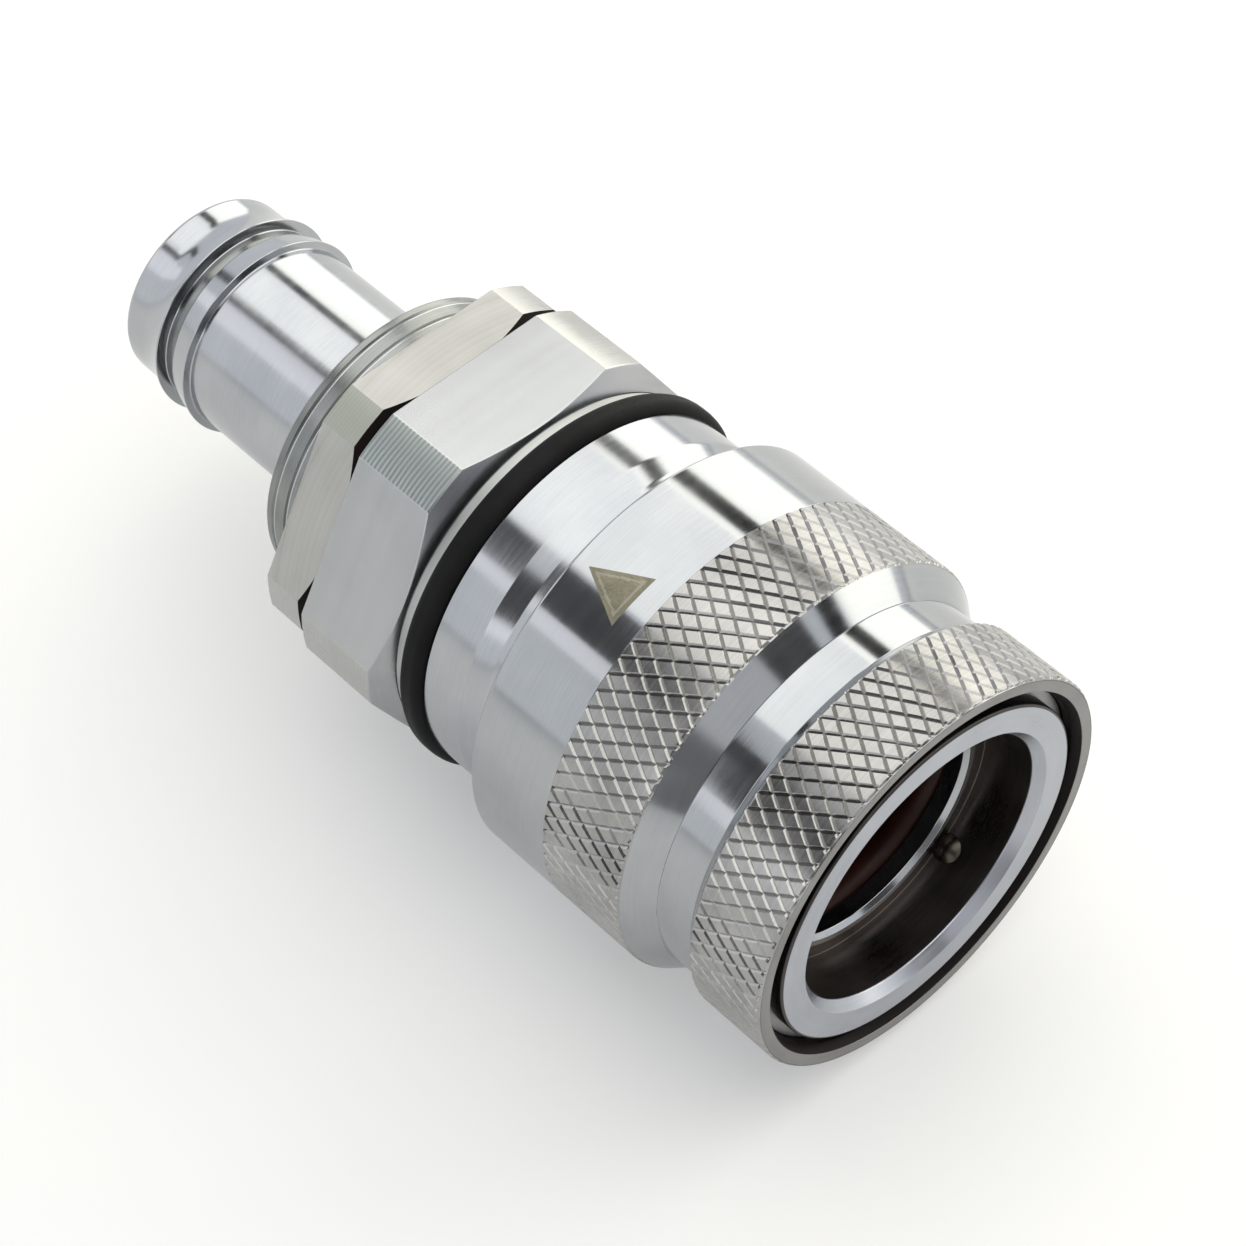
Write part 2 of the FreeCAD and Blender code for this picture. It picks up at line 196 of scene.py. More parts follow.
def rounded(corners, closed):
    """Outline points (x, r, nx, nr, index) of corners (x, r, fillet, index of what follows).

    The normals are to the right of the way along the outline.
    """
    count = len(corners)
    points = []
    for k in range(count):
        x, r, fillet = corners[k][:3]
        index = corners[k][3] if len(corners[k]) > 3 else 0
        if not closed and k in (0, count - 1):
            other = corners[1] if k == 0 else corners[count - 2]
            way = Vector((other[0] - x, other[1] - r)).normalized()
            if k:
                way = -way
            points.append((x, r, way.y, -way.x, index))
            continue
        here = Vector((x, r))
        before = Vector(corners[k - 1][:2])
        after = Vector(corners[(k + 1) % count][:2])
        into = (here - before).normalized()
        out = (after - here).normalized()
        turning = math.atan2(into.x * out.y - into.y * out.x, into.dot(out))
        room = 0.49 * min((here - before).length, (after - here).length)
        reach = min(fillet * math.tan(abs(turning) / 2), room)
        fillet = reach / max(math.tan(abs(turning) / 2), 1e-6)
        normal_in = Vector((into.y, -into.x))
        side = 1 if turning > 0 else -1
        centre = here - into * reach - normal_in * fillet * side
        steps = max(1, math.ceil(abs(turning) / math.radians(18)))
        for step in range(steps + 1):
            turn = turning * step / steps
            normal = Matrix.Rotation(turn, 2) @ normal_in
            place = centre + normal * fillet * side
            points.append((place.x, place.y, normal.x, normal.y, index))
    return points


def new_object(name, mesh):
    """A mesh object of the scene."""
    made = bpy.data.objects.new(name, mesh)
    bpy.context.scene.collection.objects.link(made)
    return made


def spin(name, corners, closed=True):
    """Surface of revolution with true normals."""
    outline = rounded(corners, closed)
    rows = len(outline)
    points, normals, faces = [], [], []
    for k in range(SEGMENTS):
        angle = 2 * math.pi * k / SEGMENTS
        c, s = math.cos(angle), math.sin(angle)
        for x, r, nx, nr, _ in outline:
            points.append((x * MM, r * c * MM, r * s * MM))
            normals.append((nx, nr * c, nr * s))
    for k in range(SEGMENTS):
        here = k * rows
        there = (k + 1) % SEGMENTS * rows
        for j in range(rows if closed else rows - 1):
            i = (j + 1) % rows
            faces.append((here + j, here + i, there + i, there + j))
    mesh = bpy.data.meshes.new(name)
    mesh.from_pydata(points, [], faces)
    per_turn = rows if closed else rows - 1
    indexes = [outline[n % per_turn][4] for n in range(len(faces))]
    mesh.polygons.foreach_set("material_index", indexes)
    mesh.shade_smooth()
    mesh.normals_split_custom_set_from_vertices(normals)
    return new_object(name, mesh)


def hex_columns(flats, corner_r):
    """Angles about the axis and the radius of the turned hexagon there; True where the corner is turned."""
    edge = math.degrees(math.acos(flats / 2 / corner_r))
    offsets = [edge * (k / 10 - 1) for k in range(20)]
    offsets += [edge + (30 - edge) * k / 5 for k in range(10)]
    columns = []
    for sector in range(6):
        for offset in offsets:
            turned = offset >= edge - 1e-6
            flat_r = flats / 2 / math.cos(math.radians(offset))
            angle = 90 + 60 * sector + offset
            columns.append((math.radians(angle), corner_r if turned else flat_r, turned))
    return columns


def hex_nut(name, flats, corner_r, x_front, x_back, front_r, inner_r, slope):
    """Hexagon with its corners turned down and its front chamfered.

    The slope is the chamfer's length over its height.
    """
    columns = hex_columns(flats, corner_r)
    bm = bmesh.new()
    grid = []
    for angle, radius, turned in columns:
        outline = [
            (x_front, inner_r),
            (x_front, front_r),
            (x_front - max(radius - front_r, 0.002) * slope, radius),
            (x_back, radius),
            (x_back, inner_r),
        ]
        c, s = math.cos(angle), math.sin(angle)
        grid.append([bm.verts.new((x * MM, r * c * MM, r * s * MM)) for x, r in outline])
    for k, column in enumerate(grid):
        following = grid[(k + 1) % len(grid)]
        for row in range(len(column) - 1):
            face = bm.faces.new((column[row], following[row], following[row + 1], column[row + 1]))
            face.smooth = True
            if row == 2 and columns[k][2]:
                near = abs(math.degrees(columns[k][0]) - LINED_AT) < 20
                face.material_index = LINED if near else PLAIN
            if row == 1:
                face.material_index = FRONT_CHAMFER
    mesh = bpy.data.meshes.new(name)
    bm.to_mesh(mesh)
    bm.free()
    made = new_object(name, mesh)
    bevel = made.modifiers.new("edges", "BEVEL")
    bevel.width = HEX_BEVEL * MM
    bevel.segments = 2
    bevel.limit_method = "ANGLE"
    bevel.angle_limit = math.radians(14)
    bevel.harden_normals = True
    bevel.use_clamp_overlap = True
    return made


def knurl(name, radius, x_front, x_back, envelope, low_r):
    """Diamond knurl between two planes, kept under the envelope, with end walls down to low_r."""
    pitch = 2 * math.pi * radius / KNURL_LINES
    slope = math.tan(math.radians(KNURL_ANGLE))
    row_len = pitch / (2 * slope)
    random.seed(7)
    bm = bmesh.new()

    def point(a, b, depth):
        angle = (a + b) / 2 * pitch / radius
        r = radius - depth
        return bm.verts.new(((b - a) * row_len * MM, r * math.cos(angle) * MM, r * math.sin(angle) * MM))

    def cut(x, way, clear):
        whole = bm.verts[:] + bm.edges[:] + bm.faces[:]
        bmesh.ops.bisect_plane(
            bm, geom=whole, plane_co=(x * MM, 0, 0), plane_no=(way, 0, 0), clear_outer=clear
        )

    first = math.floor(x_back / row_len) - 2
    last = math.ceil(x_front / row_len) + 2
    for row in range(first, last):
        for i in range(KNURL_LINES):
            j = i + row
            share = KNURL_SHARE
            wide = 1 - 2 * share
            ring = ((0, 0), (1, 0), (1, 1), (0, 1))
            outer = [point(i + p, j + q, KNURL_DEPTH) for p, q in ring]
            tilt = [random.uniform(0, KNURL_UNEVEN) for _ in ring]
            inner = [
                point(i + share + p * wide, j + share + q * wide, tilt[n])
                for n, (p, q) in enumerate(ring)
            ]
            middle = point(i + 0.5, j + 0.5, -KNURL_CROWN)
            for n in range(4):
                m = (n + 1) % 4
                bm.faces.new((outer[n], outer[m], inner[m], inner[n]))
                bm.faces.new((inner[n], inner[m], middle)).smooth = True
    bmesh.ops.remove_doubles(bm, verts=bm.verts, dist=0.001 * MM)
    for x, way in ((x_front, 1), (x_back, -1)):
        cut(x, way, True)
        for step in KNURL_CUTS:
            cut(x - way * step, way, False)
    for vertex in bm.verts:
        r = math.hypot(vertex.co.y, vertex.co.z)
        limit = envelope(vertex.co.x / MM) * MM
        if r > limit:
            vertex.co.y *= limit / r
            vertex.co.z *= limit / r
    for x in (x_front, x_back):
        rim = [e for e in bm.edges if e.is_boundary and all(abs(v.co.x - x * MM) < 1e-7 for v in e.verts)]
        grown = bmesh.ops.extrude_edge_only(bm, edges=rim)["geom"]
        for vertex in (g for g in grown if isinstance(g, bmesh.types.BMVert)):
            r = math.hypot(vertex.co.y, vertex.co.z)
            vertex.co.y *= low_r * MM / r
            vertex.co.z *= low_r * MM / r
    bmesh.ops.recalc_face_normals(bm, faces=bm.faces)
    mesh = bpy.data.meshes.new(name)
    bm.to_mesh(mesh)
    bm.free()
    mesh.set_sharp_from_angle(angle=math.radians(20))
    return new_object(name, mesh)


def join(name, objects, materials):
    """One object of several, given a list of materials and with their modifiers applied."""
    for made in objects:
        for material in materials:
            made.data.materials.append(material)
    graph = bpy.context.evaluated_depsgraph_get()
    for made in objects:
        if made.modifiers:
            mesh = bpy.data.meshes.new_from_object(made.evaluated_get(graph), depsgraph=graph)
            made.modifiers.clear()
            made.data = mesh
    if len(objects) > 1:
        with bpy.context.temp_override(active_object=objects[0], selected_editable_objects=objects):
            bpy.ops.object.join()
    objects[0].name = name
    objects[0].data.name = name
    return objects[0]


class Look:
    """A node material, built one node at a time."""

    def __init__(self, name):
        self.material = bpy.data.materials.new(name)
        self.material.use_nodes = True
        self.tree = self.material.node_tree
        self.shader = self.tree.nodes["Principled BSDF"]

    def add(self, kind, inputs=None, **settings):
        made = self.tree.nodes.new("ShaderNode" + kind)
        for key, value in settings.items():
            setattr(made, key, value)
        for key, value in (inputs or {}).items():
            if isinstance(value, bpy.types.NodeSocket):
                self.tree.links.new(value, made.inputs[key])
            else:
                made.inputs[key].default_value = value
        return made

    def math(self, operation, *values):
        return self.add("Math", dict(enumerate(values)), operation=operation).outputs[0]

    def place(self):
        """Object coordinates, in metres of the part's frame."""
        return self.add("TexCoord").outputs["Object"]

    def off_axis(self, parts):
        """Square of the distance from the axis, of a place in its parts."""
        across = self.math("POWER", parts.outputs[1], 2.0)
        return self.math("ADD", across, self.math("POWER", parts.outputs[2], 2.0))

    def round_axis(self):
        """Vector of the place along the axis, the angle about it and the radius."""
        parts = self.add("SeparateXYZ", {0: self.place()})
        angle = self.math("ARCTAN2", parts.outputs[2], parts.outputs[1])
        radius = self.math("SQRT", self.off_axis(parts))
        return self.add("CombineXYZ", {0: parts.outputs[0], 1: angle, 2: radius}).outputs[0]

    def noise(self, vector, scale, stretch=(1, 1, 1), detail=2.0, rough=0.5):
        spread = self.add("Mapping", {"Vector": vector, "Scale": stretch}).outputs[0]
        inputs = {"Vector": spread, "Scale": scale, "Detail": detail, "Roughness": rough}
        return self.add("TexNoise", inputs).outputs[0]

    def between(self, value, low, high, from_low=0.0, from_high=1.0):
        return self.add("MapRange", {0: value, 1: from_low, 2: from_high, 3: low, 4: high}).outputs[0]

    def tint(self, value, first, second):
        ramp = self.add("ValToRGB", {0: value})
        ramp.color_ramp.elements[0].color = (*first, 1)
        ramp.color_ramp.elements[1].color = (*second, 1)
        return ramp.outputs[0]

    def bump(self, height, distance, strength=1.0, normal=None):
        inputs = {"Height": height, "Distance": distance, "Strength": strength}
        if normal:
            inputs["Normal"] = normal
        return self.add("Bump", inputs).outputs[0]

    def set(self, **inputs):
        names = {
            "colour": "Base Color",
            "rough": "Roughness",
            "metal": "Metallic",
            "normal": "Normal",
            "specular": "Specular IOR Level",
        }
        for key, value in inputs.items():
            socket = self.shader.inputs[names[key]]
            if isinstance(value, bpy.types.NodeSocket):
                self.tree.links.new(value, socket)
            else:
                socket.default_value = value
        return self.material


def steel(name, dark, light, rough):
    """Turned steel: fine rings about the axis, a soft mottle and wear in its gloss."""
    look = Look(name)
    around = look.round_axis()
    rings = look.noise(around, 1.0, (RING_MARKS, 3, RING_MARKS * 0.3), 3.0, 0.6)
    smear = look.noise(look.place(), 260.0, detail=3.0)
    fine = look.noise(look.place(), 9000.0, detail=2.0)
    blend = look.math("ADD", look.math("MULTIPLY", rings, 0.35), look.math("MULTIPLY", smear, 0.65))
    normal = look.bump(rings, RING_DEPTH)
    normal = look.bump(fine, RING_DEPTH * 0.25, 1.0, normal)
    return look.set(
        colour=look.tint(look.between(blend, 0, 1, 0.35, 0.65), dark, light),
        rough=look.between(blend, rough * 0.75, rough * 1.35, 0.3, 0.7),
        metal=1.0,
        normal=normal,
    )


def milled(name, dark, light, rough, centre_x, marks, depth):
    """Milled flats: shallow arcs struck about a point on the axis."""
    look = Look(name)
    parts = look.add("SeparateXYZ", {0: look.place()})
    along = look.math("SUBTRACT", parts.outputs[0], centre_x * MM)
    reach = look.math("SQRT", look.math("ADD", look.math("POWER", along, 2.0), look.off_axis(parts)))
    arcs = look.noise(look.add("CombineXYZ", {0: reach}).outputs[0], 1.0, (marks, 1, 1), 2.0, 0.6)
    smear = look.noise(look.place(), 300.0, detail=3.0)
    blend = look.math("ADD", look.math("MULTIPLY", arcs, 0.6), look.math("MULTIPLY", smear, 0.4))
    return look.set(
        colour=look.tint(look.between(blend, 0, 1, 0.35, 0.65), dark, light),
        rough=look.between(blend, rough * 0.85, rough * 1.2, 0.3, 0.7),
        metal=1.0,
        normal=look.bump(arcs, depth),
    )


def lined(name, dark, light, rough, pitch, depth):
    """Coarsely turned steel: tool lines about the axis at a pitch in millimetres, a little uneven."""
    look = Look(name)
    around = look.round_axis()
    waver = look.noise(around, 1.0, (700, 6, 1), 2.0)
    place = look.add("SeparateXYZ", {0: around}).outputs[0]
    along = look.math("MULTIPLY", place, 2 * math.pi / (pitch * MM))
    wave = look.math("SINE", look.math("ADD", along, look.math("MULTIPLY", waver, 3.0)))
    fine = look.noise(around, 1.0, (RING_MARKS, 8, 1), 3.0)
    height = look.math("ADD", look.between(wave, 0, 0.7, -1, 1), look.math("MULTIPLY", fine, 0.3))
    return look.set(
        colour=look.tint(height, dark, light),
        rough=look.between(height, rough * 1.2, rough * 0.8),
        metal=1.0,
        normal=look.bump(height, depth, 0.7),
    )


def dull(name, dark, light, rough, specular):
    """Rubber, or a near-black skin of painted shade: dull, with a faint sheen, specks and a fine grain."""
    look = Look(name)
    grain = look.noise(look.place(), 6000.0, detail=4.0, rough=0.6)
    smear = look.noise(look.place(), 400.0, detail=3.0)
    return look.set(
        colour=look.tint(look.between(smear, 0, 1, 0.35, 0.65), dark, light),
        rough=look.between(grain, rough * 0.9, rough * 1.1, 0.3, 0.7),
        specular=specular,
        normal=look.bump(grain, 0.000002, 0.5),
    )


def etched(name, dark, light):
    """Laser-marked steel: a dull khaki skin."""
    look = Look(name)
    hatch = look.noise(look.round_axis(), 1.0, (9000, 90, 1), 2.0)
    smear = look.noise(look.place(), 900.0, detail=4.0)
    blend = look.math("ADD", look.math("MULTIPLY", hatch, 0.4), look.math("MULTIPLY", smear, 0.6))
    return look.set(
        colour=look.tint(look.between(blend, 0, 1, 0.35, 0.65), dark, light),
        rough=look.between(blend, 0.38, 0.6, 0.3, 0.7),
        metal=0.6,
        normal=look.bump(hatch, 0.000001),
    )


BODY = steel("body_steel", (0.40, 0.415, 0.44), (0.46, 0.475, 0.495), 0.14)
MOUTH = steel("mouth_steel", (0.405, 0.425, 0.47), (0.50, 0.52, 0.565), 0.30)
# Steel darkened as painted shade, for the sleeve's front lip face.
LIP_PAINTED_SHADE = steel("lip_painted_shade", (0.215, 0.21, 0.205), (0.315, 0.31, 0.305), 0.32)
STRIP = lined("turned_strip", (0.20, 0.228, 0.225), (0.46, 0.49, 0.483), 0.34, 0.27, 0.000005)
HEX_END = steel("hex_end_steel", (0.40, 0.405, 0.42), (0.49, 0.495, 0.51), 0.22)
CHAMFER = steel("chamfer_steel", (0.42, 0.43, 0.42), (0.60, 0.61, 0.60), 0.50)
SMOOTH = steel("smooth_strip", (0.44, 0.44, 0.43), (0.50, 0.50, 0.49), 0.26)
BARB_STRIP = lined("barb_strip", (0.375, 0.39, 0.34), (0.415, 0.43, 0.385), 0.38, 0.21, 0.000001)
FLATS = milled(
    "body_flats", (0.443, 0.452, 0.463), (0.493, 0.502, 0.51), 0.22, FLATS_CENTRE, 700, 0.0000002
)
BARB = steel("barb_steel", (0.40, 0.415, 0.44), (0.465, 0.48, 0.50), 0.16)
# Steel darkened as painted shade, for the barb's flange bands, its rear face and the groove between the
# teeth.
RIM_PAINTED_SHADE = steel("rim_painted_shade", (0.19, 0.20, 0.195), (0.31, 0.32, 0.315), 0.22)
BARB_FLATS = milled(
    "barb_flats", (0.405, 0.40, 0.38), (0.49, 0.485, 0.465), 0.30, BARB_FLATS_CENTRE, 2600, 0.0000012
)
SLEEVE = steel("sleeve_steel", (0.38, 0.395, 0.415), (0.44, 0.455, 0.47), 0.11)
KNURLED = steel("knurled_steel", (0.295, 0.293, 0.287), (0.435, 0.43, 0.42), 0.20)
# Steel darkened as painted shade, for the shoulder and the bore wall inside the mouth.
BORE_PAINTED_SHADE = steel("bore_painted_shade", (0.115, 0.10, 0.092), (0.17, 0.153, 0.143), 0.30)
# Steel darkened as painted shade, for the tube and the collar's front face inside the sleeve.
TUBE_PAINTED_SHADE = steel("tube_painted_shade", (0.050, 0.046, 0.043), (0.085, 0.080, 0.076), 0.34)
# Near-black painted shade, put where shade falls: inside the sleeve's lip and on the hose barb's front
# chamfer.
PAINTED_SHADE_BLACK = dull("painted_shade_black", (0.005, 0.003, 0.0025), (0.010, 0.006, 0.005), 0.5, 0.12)
SPRING = steel("spring_wire", (0.24, 0.24, 0.25), (0.36, 0.36, 0.36), 0.30)
# Steel darkened as painted shade, for the lock balls in the bore.
BALL_PAINTED_SHADE = steel("ball_steel", (0.07, 0.06, 0.05), (0.115, 0.10, 0.085), 0.30)
# Near-black painted shade, for the valve poppet deep in the bore.
VALVE_PAINTED_SHADE = dull("valve_painted_shade", (0.004, 0.002, 0.002), (0.012, 0.006, 0.005), 0.45, 0.2)
GUIDE = steel("guide_steel", (0.30, 0.30, 0.30), (0.42, 0.42, 0.42), 0.30)
BLACK = dull("black_rubber", (0.006, 0.006, 0.0065), (0.010, 0.010, 0.011), 0.55, 0.12)
PACKING = dull("packing_rubber", (0.022, 0.006, 0.004), (0.045, 0.013, 0.008), 0.42, 0.2)
ETCH = etched("etched_mark", (0.155, 0.142, 0.100), (0.285, 0.265, 0.195))
ETCH_LINE = etched("etched_line", (0.25, 0.24, 0.19), (0.36, 0.35, 0.29))


def dress(node, material):
    """A CAD node that keeps its shape gets a material."""
    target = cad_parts[node]
    for slot in target.material_slots:
        slot.material = material


def build_body():
    """Mouth, tube, collar and hexagon of the body, and its bore."""
    mouth, neck, bore, tube = 1, 2, 3, 4
    shell = spin("shell", [
        (X_MOUTH, BORE_R + 0.45, 0.05, mouth),
        # The tube and the collar's front face, inside the sleeve, take steel darkened as painted shade.
        (X_MOUTH, TUBE_R, 0.15, tube),
        (X_TUBE_END, TUBE_R, 0.1, tube),
        (X_TUBE_END, COLLAR_R, 0.12),
        (X_RELIEF, COLLAR_R, 0.15),
        (X_RELIEF - 0.3, RELIEF_R, 0.2),
        (X_SLOPE, RELIEF_R, 0.5),
        (X_COLLAR, COLLAR_R, 0.5),
        (X_BUMPER, COLLAR_R, 0.12),
        (X_BUMPER, BUMPER_GROOVE_R, 0.05),
        (X_NECK, BUMPER_GROOVE_R, 0.05, neck),
        (X_NECK, NECK_R, 0.1, neck),
        (X_HEX, NECK_R, 0.05),
        (X_HEX - 0.3, NECK_R - 0.1, 0.05),
        (X_HEX - 0.3, FACE_BORE_R, 0.1),
        (X_THREAD_FRONT, THREAD_BORE_R, 0.1),
        (X_CHAMBER_END, CHAMBER_R, 0.05),
        (SEAT_END, CHAMBER_R, 0.1),
        (SEAT_START, NOSE_BORE_R, 0.1),
        (SEAL_BACK, NOSE_BORE_R, 0.08),
        (SEAL_BACK, SEAL_GROOVE_R, 0.05),
        (SEAL_FRONT, SEAL_GROOVE_R, 0.05),
        (SEAL_FRONT, NOSE_BORE_R, 0.08),
        (0.0, NOSE_BORE_R, 0.08),
        (X_SHOULDER, NOSE_BORE_R + 0.25, 0.06),
        # The shoulder's outer part and the bore wall up to the mouth's chamfer take steel darkened as
        # painted shade.
        (X_SHOULDER, NOSE_BORE_R + 0.6, 0.05, bore),
        (X_SHOULDER - 0.05, NOSE_BORE_R + 0.65, 0.05, bore),
        (X_SHOULDER - 0.05, BORE_R, 0.05, bore),
        (X_MOUTH - 0.55, BORE_R, 0.15, mouth),
    ])
    nut = hex_nut("nut", HEX_FLATS, HEX_CORNER_R, X_HEX, X_REAR, NECK_R, REAR_BORE_R, HEX_SLOPE)
    rear = spin("rear", [
        (X_REAR, REAR_BORE_R, 0.05),
        (X_REAR + 1.3, REAR_BORE_R, 0.05),
        (X_REAR + 1.3, THREAD_BORE_R, 0.05),
        (X_THREAD_BACK, THREAD_BORE_R, 0.05),
    ], False)
    body = join("socket_body_shell", [shell, rear], [BODY, MOUTH, CHAMFER, BORE_PAINTED_SHADE, TUBE_PAINTED_SHADE])
    nut = join("socket_body_hex", [nut], [FLATS, STRIP, HEX_END, SMOOTH])
    for made in (body, nut):
        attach(made, "socket")
        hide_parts("socket_body")


def build_barb():
    """Hexagon, flange, shank, teeth, flare and nose of the hose connector."""
    # Index 1 takes steel darkened as painted shade: the flange bands, the flange's rear face and the groove
    # between the teeth.
    rim = 1
    lines = []
    for x in FLANGE_LINES:
        lines += [
            (x + 0.18, FLANGE_R, 0.01),
            (x + 0.1, FLANGE_R, 0.02),
            (x, FLANGE_R - 0.1, 0.02, rim),
            (x - 0.1, FLANGE_R, 0.02, rim),
        ]
    flare = []
    for k in range(1, 8):
        share = k / 8
        r = TOOTH_R + share * (NOSE_R - TOOTH_R) - 4 * FLARE_SAG * share * (1 - share)
        flare.append((X_TOOTH_2 + share * (X_NOSE - X_TOOTH_2), r, 9))
    tail = spin("tail", [
        (X_BARB_HEX + 0.2, BARB_INNER_R, 0.05),
        (X_BARB_HEX, FLANGE_R, 0.05, rim),
        *lines,
        (X_SHANK, FLANGE_R, 0.15, rim),
        (X_SHANK, SHANK_R, 0.1),
        (X_TOOTH_1 + 0.1, SHANK_R, 0.1),
        (X_TOOTH_1, TOOTH_R, 0.05),
        (X_GROOVE, SHANK_R + 0.1, 0.1, rim),
        (X_GROOVE, SHANK_R - 0.2, 0.08, rim),
        (X_TOOTH_2 + 0.1, SHANK_R - 0.2, 0.08),
        (X_TOOTH_2, TOOTH_R, 0.06),
        *flare,
        (X_NOSE, NOSE_R, 3),
        (X_END, NOSE_R, 0.35),
        (X_END, FLOW_R, 0.1),
        (X_REAR - 2.2, FLOW_R, 0.2),
        (X_REAR, SPIGOT_BORE_R, 0.2),
        (X_SPIGOT, SPIGOT_BORE_R, 0.1),
        (X_SPIGOT, SPIGOT_R, 0.3),
        (X_REAR + 1.6, SPIGOT_R, 0.2),
        (X_REAR + 1.6, SPIGOT_NECK_R, 0.2),
        (X_REAR, SPIGOT_NECK_R, 0.1),
        (X_REAR - 0.2, BARB_INNER_R, 0.05),
    ])
    nut = hex_nut(
        "nut", BARB_HEX_FLATS, BARB_HEX_CORNER_R, X_REAR, X_BARB_HEX,
        BARB_HEX_FRONT_R, BARB_HEX_INNER_R, BARB_HEX_SLOPE,
    )
    tail = join("hose_barb_tail", [tail], [BARB, RIM_PAINTED_SHADE])
    # The hexagon's front chamfer, in the crevice against the body's hexagon, takes the near-black painted
    # shade.
    nut = join("hose_barb_hex", [nut], [BARB_FLATS, BARB_STRIP, PAINTED_SHADE_BLACK, SMOOTH])
    for made in (tail, nut):
        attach(made, "socket")
        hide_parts("hose_barb")


def build_bumper():
    """Black rubber ring behind the collar."""
    ring = spin("bumper_ring_skin", [
        (X_BUMPER, BUMPER_GROOVE_R, 0.05),
        (X_BUMPER, BUMPER_R, 0.55),
        (X_NECK, BUMPER_R, 0.55),
        (X_NECK, BUMPER_GROOVE_R, 0.05),
    ])
    ring.data.materials.append(BLACK)
    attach(ring, "socket")
    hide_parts("bumper_ring")


def front_envelope(x):
    """Outline over the front knurl: edge at the lip, bevel down to the neck."""
    lip = SLEEVE_FRONT_R - max(0, x - (X_SLEEVE - LIP_EDGE))
    bevel = SLEEVE_FRONT_R - max(0, X_NECK_TOP - x) * BEVEL_DROP / BEVEL_LEN
    return min(lip, bevel)


def rear_envelope(x):
    """Outline over the rear knurl: the cone in front."""
    return SLEEVE_R - max(0, x - X_CONE) * CONE_DROP / CONE_LEN


def build_sleeve():
    """Sleeve: lip, front knurl, neck, cone, rear knurl and smooth band."""
    dark, lip = 1, 2
    low_front = SLEEVE_FRONT_R - KNURL_DEPTH - 0.01
    low_rear = SLEEVE_R - KNURL_DEPTH - 0.01
    x_low_front = X_NECK_TOP - (SLEEVE_FRONT_R - low_front) * BEVEL_LEN / BEVEL_DROP
    x_low_rear = X_CONE + (SLEEVE_R - low_rear) * CONE_LEN / CONE_DROP
    shell = spin("shell", [
        # The lip face takes steel darkened as painted shade.
        (X_SLEEVE, LIP_BORE_R + LIP_CHAMFER, 0.05, lip),
        (X_SLEEVE, low_front, 0.01),
        (x_low_front, low_front, 0.01),
        (X_NECK_FRONT, SLEEVE_NECK_R, 0.12),
        (X_NECK_BACK, SLEEVE_NECK_R, 0.05),
        (X_NECK_BACK - 0.02, SLEEVE_NECK_R + 0.06, 0.02),
        (x_low_rear, low_rear, 0.01),
        (X_BAND, low_rear, 0.01),
        (X_BAND, SLEEVE_R, 0.03),
        (X_SLEEVE_END, SLEEVE_R, 0.2),
        (X_SLEEVE_END, GUIDE_BORE_R, 0.15),
        (X_SPRING_STEP, GUIDE_BORE_R, 0.1),
        (X_SPRING_STEP, STEP_R, 0.1),
        (0.4, STEP_R, 0.1),
        (X_LIP_STEP, STEP_R + 0.25, 0.05),
        # The lip's bore and inner chamfer, in the gap over the tube, take the near-black painted shade.
        (X_LIP_STEP, LIP_BORE_R, 0.05, dark),
        (X_SLEEVE - 0.5, LIP_BORE_R, 0.1, dark),
    ])
    front = knurl("front", SLEEVE_FRONT_R, X_SLEEVE, x_low_front, front_envelope, low_front)
    rear = knurl("rear", SLEEVE_R, x_low_rear, X_BAND, rear_envelope, low_rear)
    sleeve = join("lock_sleeve_shell", [shell], [SLEEVE, PAINTED_SHADE_BLACK, LIP_PAINTED_SHADE])
    bands = join("lock_sleeve_knurl", [front, rear], [KNURLED])
    for made in (sleeve, bands):
        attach(made, "sleeve")
        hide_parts("lock_sleeve")


def build_arrow():
    """Triangle etched on the smooth band, pointing the way to pull."""
    tip = (-14.60, 112.6)
    base = ((-11.45, 105.4), (-11.55, 119.6))
    steps = 24
    bm = bmesh.new()
    rows = []
    for k in range(steps + 1):
        share = max(k / steps, 0.02)
        row = []
        for n in range(steps + 1):
            side = n / steps
            x = tip[0] + share * (base[0][0] + side * (base[1][0] - base[0][0]) - tip[0])
            angle = tip[1] + share * (base[0][1] + side * (base[1][1] - base[0][1]) - tip[1])
            r = (SLEEVE_R + ARROW_LIFT) * MM
            turn = math.radians(angle)
            row.append(bm.verts.new((x * MM, r * math.cos(turn), r * math.sin(turn))))
        rows.append(row)
    for k in range(steps):
        for n in range(steps):
            face = bm.faces.new((rows[k][n], rows[k][n + 1], rows[k + 1][n + 1], rows[k + 1][n]))
            face.smooth = True
            from_sides = min(n, steps - 1 - n) * (k + 0.5) / steps * 0.9
            from_base = steps - 1 - k
            if 1.5 < min(from_sides, from_base) <= 2.5 or from_base == 2 and from_sides > 1.5:
                face.material_index = 1
    bmesh.ops.recalc_face_normals(bm, faces=bm.faces)
    mesh = bpy.data.meshes.new("pull_arrow")
    bm.to_mesh(mesh)
    bm.free()
    arrow = new_object("pull_arrow", mesh)
    mesh.materials.append(ETCH)
    mesh.materials.append(ETCH_LINE)
    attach(arrow, "sleeve")


